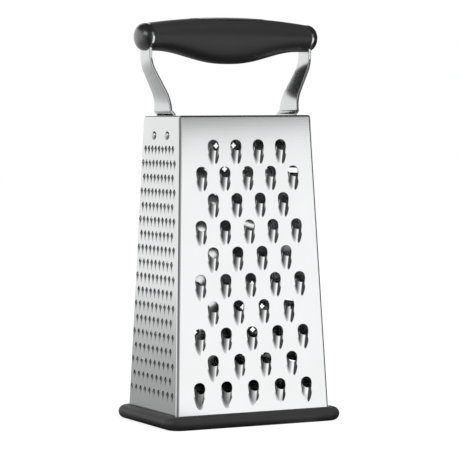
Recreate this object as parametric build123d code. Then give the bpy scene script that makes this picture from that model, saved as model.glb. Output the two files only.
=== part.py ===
from build123d import *
import math
import os

# Box grater: four tapered stainless steel panels under a steel top plate, a rubber ring round the foot,
# and a bridge handle on two bent steel straps. Millimetres. The origin is on the table under the middle
# of the base ring, +Z is up, -Y is the wide coarse face and -X is the narrow fine face.

# Body of four panels, measured on their outer faces
body_height = 200.0           # from the top of the base ring to the top plate
top_width = 99.4              # X, at the top plate
top_depth = 58.7              # Y, at the top plate
foot_width = 115.7            # X, at the top of the base ring
foot_depth = 78.9             # Y, at the top of the base ring
sheet = 0.6                   # thickness of the panels and of the top plate
bend_radius = 1.4             # outside radius of every bend in the sheet
flange_width = 4.0            # wide panels' flanges, which lie inside the narrow panels
fit_gap = 0.05                # between two steel parts that are joined
overrun = 1.0                 # how far a cutting shape runs past what it cuts

# Rubber ring round the foot
ring_height = 9.0
ring_proud = 8.2              # how far the ring stands out from the panels
ring_corner = 12.0            # corner radius seen from above
ring_bevel = 2.7              # 45 degree bevel along the top and bottom of its outer edge
ring_second_bevel = 1.2       # between that bevel and the upright band
groove_floor = 2.6            # rubber left under the panels
groove_width = 1.5            # takes a panel and a flange side by side
ring_inner_wall = 2.4         # rubber inside the groove

# Top plate
front_skirt = 8.0             # depth of the skirt inside the wide panels
side_skirt = 18.0             # depth of the skirt inside the narrow panels
notch_gap = 0.4               # between the skirts and the wide panels' flanges
slot_clearance = 0.5          # round each handle strap

# Coarse teeth, on the front panel
coarse_rows = 10
coarse_first_row = 4          # teeth in the first row; the next has one more, and so on in turn
coarse_drop = 20.3            # first row of holes below the top plate
coarse_lift = 17.5            # last row of holes above the base ring
coarse_margin = 16.8          # from the end holes of the longer rows to the panel's edges
coarse_hole = 3.7             # radius of the round punch
coarse_sides = 10             # flats on the punch
coarse_reach = 13.1           # from the middle of the hole down to the tip of the scoop
coarse_slope = 0.28           # rise of the scoop's crest
coarse_lip_start = 1.5        # where the lip leaves the sheet, above the middle of the hole
coarse_lip_slope = 0.5        # rise of the lip

# Fine teeth, on the left panel
fine_rows = 18
fine_first_row = 9
fine_drop = 21.2
fine_lift = 14.1
fine_margin = 5.5
fine_shift = -1.6             # the whole pattern lies towards the back
fine_mouth_top = 1.4          # the opening's upper edge, above the middle of the hole
fine_reach = 6.3              # from the middle of the hole down to the tip of the tooth
fine_slope = 0.27             # rise of the tooth's ridge
fine_flank = 0.9              # rise of a tooth's flank over its run
fine_lip_slope = 0.6          # rise of the lip

# Zesting burrs, on the back panel
burr_rows = 11
burr_first_row = 6
burr_drop = 21.0
burr_lift = 15.0
burr_margin = 10.0
burr_sides = 3                # flats on the nail punch
burr_hole = 1.4               # from the middle of the hole to its corners
burr_foot = 2.6               # from the middle of the burr's foot to its corners
burr_rim = 1.7                # from the middle of the burr's torn rim to its corners
burr_height = 1.3

# Slicing blades, on the right panel
slicer_count = 4
slicer_drop = 40.0            # first lip below the top plate
slicer_lift = 24.0            # last lip above the base ring
slicer_margin = 9.0           # from the end of a blade to the panel's edge
slicer_opening = 3.6          # slot above the lip
slicer_ramp = 15.0            # length of the ramp below the lip
slicer_height = 2.3           # lip above the panel

# Handle straps: heights are above the top plate
strap = 2.0                   # thickness
strap_overhang = 11.8         # outer face at the handle, beyond the body's top edge
strap_knee_height = 34.9      # upper bend
strap_knee_radius = 26.0
strap_foot_inset = 0.55       # outer face just above the top plate, inside the body's top edge
strap_foot_height = 10.7      # lower bend
strap_foot_radius = 27.0
joggle_height = 2.5           # where the strap turns in to pass the top plate
joggle_depth = 2.5
joggle_radius = 3.0
tail_bend_height = -6.5       # where the strap's tail meets the skirt
tail_bend_radius = 9.0
tail_end_height = -18.2
strap_neck_width = 15.6       # in Y, just below the handle
strap_middle_width = 19.6
strap_foot_width = 27.0
strap_neck_height = 38.5
strap_middle_height = 21.0
strap_tail_corner = 3.0

# Handle
oval_sides = 20               # flats round the grip, the straps' eyes and the caps
eye_height = 53.1             # middle of the handle's ends above the top plate
end_half_height = 9.4         # Z, half the oval end
end_half_width = 12.9         # Y
grip_rise = 4.2               # the grip's top stands this far above its ends' tops
grip_belly = 8.7              # and its belly hangs this far below their bottoms
grip_swell = 1.2              # extra half width in the middle
grip_line_rise = 0.9          # the widest line, lifted in the middle
belly_inset = 5.45            # from the grip's end to where the belly runs out
belly_fullness = 1.25         # exponent of the belly's curve: 1 is a plain bell, more is fuller
grip_shares = (-1, -0.88, -0.7, -0.5, -0.25, 0, 0.25, 0.5, 0.7, 0.88, 1)   # of its half length, for rings
cap_height = 5.8
cap_turns = (0, 26, 50, 76)   # degrees round the cap's side profile, where rings lie
core_half_width = 7.5
core_half_height = 5.5
inlay_half_length = 27.5
inlay_half_width = 8.0
inlay_thickness = 1.2
inlay_proud = 0.25
seat_gap = 0.15               # round the inlay

# Screws in the ends of the handle
fastener_sides = 8            # flats on small shanks, heads and their holes, which stand for a circle
screw_radius = 2.0
screw_length = 18.0
screw_head_radius = 4.0
screw_head_height = 2.4
screw_socket = 1.5            # half the hexagon's width
socket_depth = 1.4
hole_clearance = 0.1          # on the radius, round screws and rivets
pocket_clearance = 0.4        # round a screw head, under the cap

# Rivets through a narrow panel, the skirt and a strap's tail
rivet_radius = 1.5
rivet_head_radius = 2.0
rivet_head_height = 1.0
rivet_head_taper = 40.0       # degrees that the head's side leans in
rivet_spread = 10.5           # from the middle of the panel
rivet_drop = 13.5             # below the top plate

# Worked out from the sizes above
top_z = ring_height + body_height
slope_x = (foot_width - top_width) / 2 / body_height
slope_y = (foot_depth - top_depth) / 2 / body_height
panel_top_z = top_z - bend_radius
eye_z = top_z + eye_height
strap_eye_reach = top_width / 2 + strap_overhang
strap_foot_reach = top_width / 2 - strap_foot_inset
strap_inner_reach = strap_eye_reach - strap
grip_end = strap_inner_reach - fit_gap
belly_reach = grip_end - belly_inset


def half_width(z):
    """Outer face of the narrow panels at a height."""
    return foot_width / 2 - slope_x * (z - ring_height)


def half_depth(z):
    """Outer face of the wide panels at a height."""
    return foot_depth / 2 - slope_y * (z - ring_height)


def tapered_face(half_size, inset, low, high):
    """The body's outline between two heights as seen from one side, drawn in by a distance."""
    bottom = half_size(low) - inset
    top = half_size(high) - inset
    return make_face(Polyline((-bottom, low), (bottom, low), (top, high), (-top, high), close=True))


def taper_block(inset_x, inset_y, low, high):
    """Solid with the body's taper between two heights, its faces drawn in by a distance in X and in Y."""
    front_face = Plane.XZ * tapered_face(half_width, inset_x, low, high)
    side_face = Plane.YZ * tapered_face(half_depth, inset_y, low, high)
    front_view = extrude(front_face, amount=foot_depth, both=True)
    return front_view & extrude(side_face, amount=foot_width, both=True)


def face_plane(x, y):
    """Plane on a panel's outer face, at the ring's top: its x runs across, its y up the panel."""
    slope = slope_x * abs(x) + slope_y * abs(y)
    reach = foot_width / 2 * abs(x) + foot_depth / 2 * abs(y)
    return Plane(origin=(x * reach, y * reach, ring_height), x_dir=(-y, x, 0), z_dir=(x, y, slope))


def oval_points(reach, rise):
    """Corners of an oval with flats, which lie on an ellipse and touch its four ends."""
    turns = [2 * math.pi * corner / oval_sides for corner in range(oval_sides)]
    return [(reach * math.cos(turn), rise * math.sin(turn)) for turn in turns]


def oval(reach, rise):
    """Face bounded by that oval."""
    return make_face(Polyline(*oval_points(reach, rise), close=True))


def skin(rings):
    """Solid with flat facets through rings of points, each ring with as many points as the next."""
    faces = [make_face(Polyline(*rings[0], close=True)), make_face(Polyline(*rings[-1], close=True))]
    for ring, next_ring in zip(rings, rings[1:]):
        for corner in range(len(ring)):
            here = ring[corner - 1]
            beside = ring[corner]
            across = next_ring[corner]
            ahead = next_ring[corner - 1]
            faces.append(make_face(Polyline(here, beside, across, close=True)))
            faces.append(make_face(Polyline(here, across, ahead, close=True)))
    return Solid(Shell(faces))


def row_height(row, rows, drop, lift):
    """Height of a row above the base ring: the rows are evenly spaced between the first and the last."""
    return body_height - drop - row * (body_height - drop - lift) / (rows - 1)


def tooth_grid(rows, first_row, drop, lift, half_size, margin, shift=0):
    """Places of staggered teeth on a panel's plane. Rows of n and n + 1 in turn widen with the panel."""
    places = []
    for row in range(rows):
        height = row_height(row, rows, drop, lift)
        pitch = 2 * (half_size(ring_height + height) - margin) / first_row
        count = first_row + row % 2
        for column in range(count):
            places.append(Pos((column - (count - 1) / 2) * pitch + shift, height))
    return places


def side_block(points, half):
    """A prism across a tooth from its side view: the points are (up the panel, out of the panel)."""
    return extrude(Plane.YZ * make_face(Polyline(*points, close=True)), amount=half, both=True)


def leaning_prism(section, reach, slope, crest):
    """A section pushed out of the sheet at a slope. Its crest leaves the sheet at the tooth's tip."""
    lean = math.atan(slope)
    start = (0, -reach + crest * math.sin(lean), -crest * math.cos(lean))
    base = Plane(origin=start, x_dir=(-1, 0, 0), z_dir=(0, math.cos(lean), math.sin(lean)))
    return extrude(base * section, amount=2 * reach)


def under_lip(reach, lip_start, lip_slope, height, half):
    """Block that keeps what lies above mid-sheet and below the sloping lip."""
    low = -sheet / 2
    points = [
        (-reach - overrun, low),
        (lip_start - low / lip_slope, low),
        (lip_start - height / lip_slope, height),
        (-reach - overrun, height),
    ]
    return side_block(points, half)


def coarse_tooth():
    """A grating scoop: a round punch pushed up at an angle from inside. Returns what is added and cut."""
    flat = math.cos(math.pi / coarse_sides)
    outer = coarse_hole + sheet / flat
    crest = outer * flat
    turn = 90 + 180 / coarse_sides
    punch_outline = RegularPolygon(coarse_hole, coarse_sides, rotation=turn)
    hood_outline = RegularPolygon(outer, coarse_sides, rotation=turn)
    high = 2 * outer
    half = outer + overrun
    hood = leaning_prism(hood_outline, coarse_reach, coarse_slope, crest)
    hood = hood & under_lip(coarse_reach, coarse_lip_start, coarse_lip_slope, high, half)
    bore = leaning_prism(punch_outline, coarse_reach, coarse_slope, crest)
    below = [(-coarse_reach - overrun, -high), (0, -high), (0, high), (-coarse_reach - overrun, high)]
    bore = bore & side_block(below, half)
    upper_half = Pos(0, coarse_hole) * Rectangle(3 * coarse_hole, 2 * coarse_hole)
    mouth = punch_outline & upper_half
    return [hood], [bore, extrude(mouth, amount=high / 2, both=True)]


def fine_tooth():
    """A small ridged scoop: two flanks meet along its crest, and its wall is as thick as the sheet."""
    high = fine_slope * (fine_reach + fine_mouth_top)
    half = 2 * high / fine_flank
    ridge = make_face(Polyline((0, high), (-half, -high), (half, -high), close=True))
    hood = leaning_prism(ridge, fine_reach, fine_slope, high)
    hood = hood & under_lip(fine_reach, fine_mouth_top, fine_lip_slope, high, half)
    bore = Pos(0, 0, -sheet) * leaning_prism(ridge, fine_reach, fine_slope, high)
    below = [(-fine_reach, -high), (fine_mouth_top, -high), (fine_mouth_top, high), (-fine_reach, high)]
    return [hood], [bore & side_block(below, half)]


def burr():
    """A zesting burr: a three-sided spike pushed through the sheet leaves a sharp-edged little crater."""
    rise = burr_height + sheet / 2
    lean = math.degrees(math.atan((burr_foot - burr_rim) * math.cos(math.pi / burr_sides) / rise))
    crater = extrude(RegularPolygon(burr_foot, burr_sides, rotation=90), amount=rise, taper=lean)
    hole = extrude(RegularPolygon(burr_hole, burr_sides, rotation=90), amount=2 * burr_height, both=True)
    return [Pos(0, 0, -sheet / 2) * crater], [hole]


def slicer(width):
    """A slicing blade: a wide tongue of the panel lifted to a straight lip, with the slot above it."""
    half = width / 2
    ramp = [(-slicer_ramp, -sheet / 2), (0, -sheet / 2), (0, slicer_height), (-slicer_ramp, 0)]
    under = [
        (-slicer_ramp, -sheet - overrun),
        (slicer_opening, -sheet - overrun),
        (slicer_opening, overrun + slicer_height),
        (0, overrun + slicer_height),
        (0, slicer_height - sheet),
        (-slicer_ramp, -sheet),
    ]
    return [side_block(ramp, half)], [side_block(under, half - sheet)]


def punch(panel, plane, places, tooth):
    """Press the same tooth into a panel at every place."""
    added, cut = tooth
    raised = panel.fuse(*[plane * place * solid for place in places for solid in added])
    return raised - [plane * place * solid for place in places for solid in cut]


def front_bends(shape, radius):
    """Round the two long corners of a tapered block that lie at the front."""
    uprights = shape.edges().sort_by(lambda edge: abs(edge.center().Z - edge.bounding_box().min.Z))[-4:]
    return fillet(uprights.sort_by(Axis.Y)[:2], radius)


def wide_panel():
    """Front panel before its teeth: a web with a bend at each side and a flange inside the narrow panel."""
    low = groove_floor + fit_gap
    gap = sheet + fit_gap
    outside = front_bends(taper_block(gap, 0, low, panel_top_z), bend_radius)
    inside = taper_block(gap + sheet, sheet, low - overrun, panel_top_z + overrun)
    inside = front_bends(inside, bend_radius - sheet)
    flange_ends = [
        (-foot_depth, low),
        (flange_width - half_depth(low), low),
        (flange_width - half_depth(panel_top_z), panel_top_z),
        (-foot_depth, panel_top_z),
    ]
    ahead = extrude(Plane.YZ * make_face(Polyline(*flange_ends, close=True)), amount=foot_width, both=True)
    return (outside - inside) & ahead


def narrow_panel():
    """Left panel before its teeth: a flat sheet that covers the wide panels' flanges."""
    low = groove_floor + fit_gap
    outside = taper_block(0, bend_radius, low, panel_top_z)
    inside = taper_block(sheet, -overrun, low - overrun, panel_top_z + overrun)
    return (outside - inside).solids().sort_by(Axis.X)[0]


def rivet_places(side):
    """Rivet axes on a narrow panel, the front one first; side is -1 for the left and 1 for the right."""
    plane = face_plane(side, 0)
    up = (body_height - rivet_drop) * math.hypot(1, slope_x)
    return [plane * Pos(side * y, up) for y in (-rivet_spread, rivet_spread)]


def pin(radius, length, start=0):
    """A small shank or head along +Z, with flats that stand for its circle."""
    return Pos(0, 0, start) * extrude(RegularPolygon(radius, fastener_sides), amount=length)


def rivet_holes(side):
    """Holes through the panel, the skirt and the strap for both rivets of one side."""
    deep = 2 * sheet + strap + 2 * rivet_head_height
    return [place * pin(rivet_radius + hole_clearance, 2 * deep, -deep) for place in rivet_places(side)]


front_panel = punch(
    wide_panel(),
    face_plane(0, -1),
    tooth_grid(coarse_rows, coarse_first_row, coarse_drop, coarse_lift, half_width, coarse_margin),
    coarse_tooth(),
)

left_panel = punch(
    narrow_panel(),
    face_plane(-1, 0),
    tooth_grid(fine_rows, fine_first_row, fine_drop, fine_lift, half_depth, fine_margin, fine_shift),
    fine_tooth(),
)
left_panel = left_panel - rivet_holes(-1)

back_panel = punch(
    mirror(wide_panel(), about=Plane.XZ),
    face_plane(0, 1),
    tooth_grid(burr_rows, burr_first_row, burr_drop, burr_lift, half_width, burr_margin),
    burr(),
)

right_panel = mirror(narrow_panel(), about=Plane.YZ)
for blade in range(slicer_count):
    lip_height = row_height(blade, slicer_count, slicer_drop, slicer_lift)
    blade_width = 2 * (half_depth(ring_height + lip_height) - slicer_margin)
    right_panel = punch(right_panel, face_plane(1, 0), [Pos(0, lip_height)], slicer(blade_width))
right_panel = right_panel - rivet_holes(1)


def strap_outer_line():
    """Corners and bend radii of a strap's outer face, from its end at the handle to its tail."""
    def tail_reach(height):
        return half_width(top_z + height) - 2 * (sheet + fit_gap) - fit_gap
    corners = [
        (strap_eye_reach, eye_height + end_half_height + overrun),
        (strap_eye_reach, strap_knee_height),
        (strap_foot_reach, strap_foot_height),
        (strap_foot_reach, joggle_height),
        (strap_foot_reach - joggle_depth, joggle_height - joggle_depth),
        (tail_reach(tail_bend_height), tail_bend_height),
        (tail_reach(tail_end_height), tail_end_height),
    ]
    radii = [strap_knee_radius, strap_foot_radius, joggle_radius, joggle_radius - strap, tail_bend_radius]
    return corners, radii


def strap_side_face():
    """Side view of a strap: the outer line thickened inwards, with every bend at one wall thickness."""
    corners, radii = strap_outer_line()
    directions = []
    for start, end in zip(corners, corners[1:]):
        length = math.dist(start, end)
        directions.append(((end[0] - start[0]) / length, (end[1] - start[1]) / length))
    inner = []
    inner_radii = []
    for index, (x, z) in enumerate(corners):
        before = directions[max(index - 1, 0)]
        after = directions[min(index, len(directions) - 1)]
        turn = before[0] * after[1] - before[1] * after[0]
        share = strap / (1 + before[0] * after[0] + before[1] * after[1])
        inner.append((x + share * (before[1] + after[1]), z - share * (before[0] + after[0])))
        if 0 < index < len(corners) - 1:
            inner_radii.append(radii[index - 1] - math.copysign(strap, -turn))
    outer_line = FilletPolyline(*corners, radius=radii)
    inner_line = FilletPolyline(*inner, radius=inner_radii)
    ends = [Line(outer_line @ 0, inner_line @ 0), Line(outer_line @ 1, inner_line @ 1)]
    return make_face([outer_line, inner_line, *ends])


def strap_front_face():
    """Front view of a strap: the oval eye, the neck that widens to the foot, and the tail."""
    neck = strap_neck_width / 2
    foot = strap_foot_width / 2
    flank = ThreePointArc((neck, strap_neck_height), (strap_middle_width / 2, strap_middle_height), (foot, 0))
    shoulder = Line((neck, strap_neck_height), (neck, eye_height))
    top = Line((neck, eye_height), (-neck, eye_height))
    bottom = Line((foot, 0), (-foot, 0))
    mirrored = [mirror(flank, about=Plane.YZ), mirror(shoulder, about=Plane.YZ)]
    blade = make_face([flank, shoulder, top, bottom, *mirrored])
    tail = RectangleRounded(strap_foot_width, -tail_end_height, strap_tail_corner)
    tail = Pos(0, tail_end_height / 2) * tail
    tail = tail + Pos(0, tail_end_height / 4) * Rectangle(strap_foot_width, -tail_end_height / 2)
    eye = Pos(0, eye_height) * oval(end_half_width, end_half_height)
    return blade + tail + eye


def handle_strap():
    """Right strap: the side view and the front view pushed through each other."""
    side = extrude(Plane.XZ * strap_side_face(), amount=strap_foot_width, both=True)
    front = extrude(Plane.YZ * strap_front_face(), amount=strap_eye_reach + overrun)
    body = Pos(0, 0, top_z) * (side & front)
    screw_hole = pin(screw_radius + hole_clearance, 4 * strap, -2 * strap)
    screw_hole = Pos(strap_eye_reach, 0, eye_z) * Rot(0, 90, 0) * screw_hole
    return body - [screw_hole, *rivet_holes(1)]


handle_strap_right = handle_strap()
handle_strap_left = mirror(handle_strap_right, about=Plane.YZ)


def skirted_tray():
    """A shallow tray turned upside down: skirts inside the panels, notched corners, a slot for each strap."""
    inset = sheet + fit_gap
    low = top_z - side_skirt
    tray = taper_block(inset, inset, low, top_z)
    tray = fillet(tray.edges().group_by(Axis.Z)[-1], bend_radius)
    hollow = taper_block(inset + sheet, inset + sheet, low - overrun, top_z - sheet)
    hollow = fillet(hollow.edges().group_by(Axis.Z)[-1], bend_radius - sheet)
    tray = tray - hollow
    side_reach = half_depth(top_z) - flange_width - notch_gap
    front_reach = half_width(top_z) - 2 * inset - bend_radius - notch_gap
    reach = half_width(low)
    for x in (-1, 1):
        for y in (-1, 1):
            corner = Pos(x * front_reach, y * side_reach, panel_top_z + fit_gap)
            towards = (Align.MIN if x > 0 else Align.MAX, Align.MIN if y > 0 else Align.MAX, Align.MAX)
            tray = tray - corner * Box(reach, reach, side_skirt, align=towards)
    under = (Align.CENTER, Align.CENTER, Align.MAX)
    across = 2 * front_reach + overrun
    between = Box(across, 2 * half_depth(low), side_skirt, align=under)
    between = between - Box(across, 2 * side_reach, side_skirt, align=under)
    tray = tray - Pos(0, 0, top_z - front_skirt) * between
    slot_outer = strap_foot_reach - joggle_depth + strap / 2 + slot_clearance
    slot_inner = strap_foot_reach - joggle_depth - strap - slot_clearance
    slot = Box(slot_outer - slot_inner, strap_foot_width + 2 * slot_clearance, 4 * sheet)
    for x in (-1, 1):
        tray = tray - Pos(x * (slot_outer + slot_inner) / 2, 0, top_z) * slot
        tray = tray - rivet_holes(x)
    return tray


top_plate = skirted_tray()


def grooved_ring():
    """Rubber ring with a rounded edge, made of bevels, and a groove that the panels stand in."""
    across = foot_width + 2 * ring_proud
    along = foot_depth + 2 * ring_proud
    blank = extrude(RectangleRounded(across, along, ring_corner), amount=ring_height)
    levels = blank.edges().group_by(Axis.Z)
    blank = chamfer(levels[0] + levels[-1], ring_bevel)
    middle = ring_height / 2
    band = middle - ring_bevel
    around_band = blank.edges().filter_by(lambda edge: abs(abs(edge.center().Z - middle) - band) < fit_gap)
    blank = chamfer(around_band, ring_second_bevel)
    groove = taper_block(-fit_gap, -fit_gap, groove_floor, ring_height + overrun)
    kept = taper_block(groove_width, groove_width, groove_floor - overrun, ring_height + 2 * overrun)
    groove = groove - kept
    inset = groove_width + ring_inner_wall
    inside = taper_block(inset, inset, -overrun, ring_height + overrun)
    return blank - groove - inside


base_ring = grooved_ring()


def grip_top(x):
    """Height of the grip's top line above the middle of its ends: a shallow arch."""
    return end_half_height + grip_rise * (1 - (x / grip_end) ** 2)


def grip_bottom(x):
    """Depth of the grip's belly below the middle of its ends: a bell curve that is flat near the ends."""
    swing = (1 + math.cos(math.pi * min(abs(x) / belly_reach, 1))) / 2
    return -end_half_height - grip_belly * (1 - (1 - swing) ** belly_fullness)


def grip_ring(x, lift):
    """Points round the grip's egg-shaped cross-section: its upper half is flatter than its belly."""
    arch = 1 - (x / grip_end) ** 2
    line = grip_line_rise * arch
    ring = []
    for across, up in oval_points(end_half_width + grip_swell * arch, 1):
        tall = grip_top(x) - line if up > 0 else line - grip_bottom(x)
        ring.append((x, across, eye_z + lift + line + up * tall))
    return ring


def grip_solid(lift=0):
    """The grip's outer form, through rings along its length."""
    return skin([grip_ring(share * grip_end, lift) for share in grip_shares])


def inlay_column(grow):
    """Upright oval column that cuts the inlay, or its seat, out of the grip's crown."""
    outline = oval(inlay_half_length + grow, inlay_half_width + grow)
    return extrude(Pos(0, 0, eye_z) * outline, amount=3 * end_half_height)


whole_grip = grip_solid()
inlay_floor = grip_solid(inlay_proud - inlay_thickness)
handle_inlay = (grip_solid(inlay_proud) & inlay_column(0)) - inlay_floor
inlay_seat = inlay_column(seat_gap) - grip_solid(inlay_proud - inlay_thickness - seat_gap)


def core_bar(grow, half_length):
    """Round-edged bar through the grip, or the bore for it."""
    outline = SlotOverall(2 * (core_half_width + grow), 2 * (core_half_height + grow))
    middle = Plane(origin=(0, 0, eye_z), x_dir=(0, 1, 0), z_dir=(1, 0, 0))
    return extrude(middle * outline, amount=half_length, both=True)


handle_grip = whole_grip - inlay_seat - core_bar(fit_gap, 2 * grip_end)

pilot_hole = pin(screw_radius + fit_gap, 2 * screw_length, -screw_length)
handle_core = core_bar(0, grip_end)
handle_core = handle_core - [Pos(x * strap_eye_reach, 0, eye_z) * Rot(0, 90, 0) * pilot_hole for x in (-1, 1)]


def end_cap():
    """Right cap: a shallow oval dome with a pocket for the screw head."""
    rings = []
    for turn in cap_turns:
        size = math.cos(math.radians(turn))
        reach = cap_height * math.sin(math.radians(turn))
        rings.append([(reach, y, z) for y, z in oval_points(end_half_width * size, end_half_height * size)])
    pocket_depth = screw_head_height + pocket_clearance
    pocket = Rot(0, 90, 0) * pin(screw_head_radius + pocket_clearance, 2 * pocket_depth, -pocket_depth)
    return Pos(strap_eye_reach + fit_gap, 0, eye_z) * (skin(rings) - pocket)


def handle_screw():
    """Right handle screw: cheese head with a hexagon socket, seated on the strap."""
    head = pin(screw_head_radius, screw_head_height, fit_gap)
    shank = pin(screw_radius, screw_length, 2 * fit_gap - screw_length)
    socket = extrude(RegularPolygon(screw_socket, 6, major_radius=False), amount=socket_depth)
    socket = Pos(0, 0, fit_gap + screw_head_height - socket_depth) * socket
    return Pos(strap_eye_reach, 0, eye_z) * Rot(0, 90, 0) * (head + shank - socket)


def rivet():
    """A rivet along Z, its low domed head seated on the panel's face at zero and its tail on the strap."""
    stack = 2 * sheet + strap + 3 * fit_gap
    outline = RegularPolygon(rivet_head_radius, fastener_sides)
    head = extrude(outline, amount=rivet_head_height, taper=rivet_head_taper)
    shank = pin(rivet_radius, stack + rivet_head_height, -stack - rivet_head_height / 2)
    tail = pin(rivet_head_radius, rivet_head_height, -stack - rivet_head_height)
    return head + shank + tail


end_cap_right = end_cap()
handle_screw_right = handle_screw()

nodes = {
    "front_panel": front_panel,
    "back_panel": back_panel,
    "left_panel": left_panel,
    "right_panel": right_panel,
    "top_plate": top_plate,
    "base_ring": base_ring,
    "handle_strap_left": handle_strap_left,
    "handle_strap_right": handle_strap_right,
    "handle_core": handle_core,
    "handle_grip": handle_grip,
    "handle_inlay": handle_inlay,
    "end_cap_left": mirror(end_cap_right, about=Plane.YZ),
    "end_cap_right": end_cap_right,
    "handle_screw_left": mirror(handle_screw_right, about=Plane.YZ),
    "handle_screw_right": handle_screw_right,
}
for side, side_name in ((-1, "left"), (1, "right")):
    for place, end_name in zip(rivet_places(side), ("front", "rear")):
        nodes[f"rivet_{side_name}_{end_name}"] = place * rivet()

os.makedirs("parts", exist_ok=True)
for name, shape in nodes.items():
    export_step(shape, f"parts/{name}.step")
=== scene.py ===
# %% [markdown]
# # Box grater
# A box grater is a tapered tube of thin stainless steel sheet. Each face is punched with its own kind
# of tooth, a rubber ring grips the foot, and a bridge handle sits on two bent steel straps. The CAD
# model gives every part its place. This script gives the parts their finish, and makes again with
# finer surfaces all those whose curves the eye reads, from the pierced panels to the rivets. The first
# cell loads that CAD model.

# %% Load the CAD frame
import math

import bmesh
import bpy
import numpy as np
from mathutils import Matrix, Vector
from mathutils.geometry import delaunay_2d_cdt


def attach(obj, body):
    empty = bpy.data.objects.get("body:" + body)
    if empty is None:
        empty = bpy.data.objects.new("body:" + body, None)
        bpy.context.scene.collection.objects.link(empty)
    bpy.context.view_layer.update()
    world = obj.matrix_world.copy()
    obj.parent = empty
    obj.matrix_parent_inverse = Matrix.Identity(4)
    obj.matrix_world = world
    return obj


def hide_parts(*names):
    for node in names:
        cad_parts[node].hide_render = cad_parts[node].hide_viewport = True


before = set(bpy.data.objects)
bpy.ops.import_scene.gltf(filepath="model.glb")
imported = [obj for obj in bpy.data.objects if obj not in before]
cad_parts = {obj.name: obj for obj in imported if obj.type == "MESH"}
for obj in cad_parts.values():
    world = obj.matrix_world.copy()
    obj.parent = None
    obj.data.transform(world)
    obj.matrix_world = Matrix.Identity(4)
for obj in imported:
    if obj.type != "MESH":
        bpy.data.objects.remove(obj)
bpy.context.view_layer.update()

MM = 0.001                             # a millimetre, in Blender's metres

# %% [markdown]
# ## The camera
# A product photographer stands well back with a long lens, so that upright edges stay nearly parallel.
# The angles below were fitted to the corners of the body in the photograph: the camera stands 26
# degrees to the left of the coarse face, a little above the middle, and looks down by under 3 degrees.

# %% Camera
CAMERA_TURN = math.radians(26.22)      # round the grater, to the left of the coarse face
CAMERA_YAW = math.radians(0.061)       # how far the view passes beside the grater's upright axis
CAMERA_PITCH = math.radians(2.818)     # looking down
CAMERA_ROLL = math.radians(-0.261)     # a slight lean of the picture
CAMERA_DISTANCE = 1.5737               # metres from the upright axis
CAMERA_HEIGHT = 0.2077                 # metres above the floor
LENS = 179.3                           # mm
SENSOR = 36.0                          # mm wide
FARTHEST = 50.0                        # metres that the camera sees

aim = CAMERA_TURN + CAMERA_YAW
along_floor = math.cos(CAMERA_PITCH)
forward = Vector((math.sin(aim) * along_floor, math.cos(aim) * along_floor, -math.sin(CAMERA_PITCH)))
level = Vector((math.cos(aim), -math.sin(aim), 0))
upward = level.cross(forward)
right = level * math.cos(CAMERA_ROLL) + upward * math.sin(CAMERA_ROLL)
up = upward * math.cos(CAMERA_ROLL) - level * math.sin(CAMERA_ROLL)
stand = Vector((
    -CAMERA_DISTANCE * math.sin(CAMERA_TURN),
    -CAMERA_DISTANCE * math.cos(CAMERA_TURN),
    CAMERA_HEIGHT,
))
camera_data = bpy.data.cameras.new("product_camera")
camera_data.lens = LENS
camera_data.sensor_width = SENSOR
camera_data.clip_end = FARTHEST
camera = bpy.data.objects.new("product_camera", camera_data)
bpy.context.scene.collection.objects.link(camera)
camera.matrix_world = Matrix.Translation(stand) @ Matrix((right, up, -forward)).transposed().to_4x4()
bpy.context.scene.camera = camera
bpy.context.scene.view_settings.view_transform = "Standard"
print("camera stands at", [round(v, 3) for v in stand])

# %% [markdown]
# ## Helpers for materials
# Every finish below is a small tree of nodes round one Principled shader. One function turns the
# colours, which are written as a painter would pick them on a screen, into linear light. Another adds
# a node together with its settings and links, so each material reads as a list of what it is made of.
# Every skin has two noises, a fine one for its texture and a broad one for its wear, and a third
# function makes both.

# %% Colour and node helpers
def linear(hex_colour):
    """sRGB hex to linear: c / 12.92 when dark, otherwise ((c + 0.055) / 1.055) to the power 2.4."""
    values = [int(hex_colour[i:i + 2], 16) / 255 for i in (1, 3, 5)]
    return [v / 12.92 if v <= 0.04045 else ((v + 0.055) / 1.055) ** 2.4 for v in values] + [1.0]


def add(tree, kind, settings=None, values=None, links=None):
    """Add a node: settings are its attributes, values its sockets' numbers, links what feeds its sockets."""
    node = tree.nodes.new(kind)
    for name, value in (settings or {}).items():
        setattr(node, name, value)
    for name, value in (values or {}).items():
        node.inputs[name].default_value = value
    for name, source in (links or {}).items():
        tree.links.new(source, node.inputs[name])
    return node


def new_material(name):
    """Material with an empty tree, and its tree."""
    material = bpy.data.materials.new(name)
    material.use_nodes = True
    material.node_tree.nodes.clear()
    return material, material.node_tree


def object_scale(tree, size):
    """Object coordinates divided by a size in mm along X, Y and Z: a texture's unit becomes that size."""
    coordinates = add(tree, "ShaderNodeTexCoord")
    return add(
        tree, "ShaderNodeMapping", values={"Scale": [1 / (s * MM) for s in size]},
        links={"Vector": coordinates.outputs["Object"]},
    )


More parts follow.
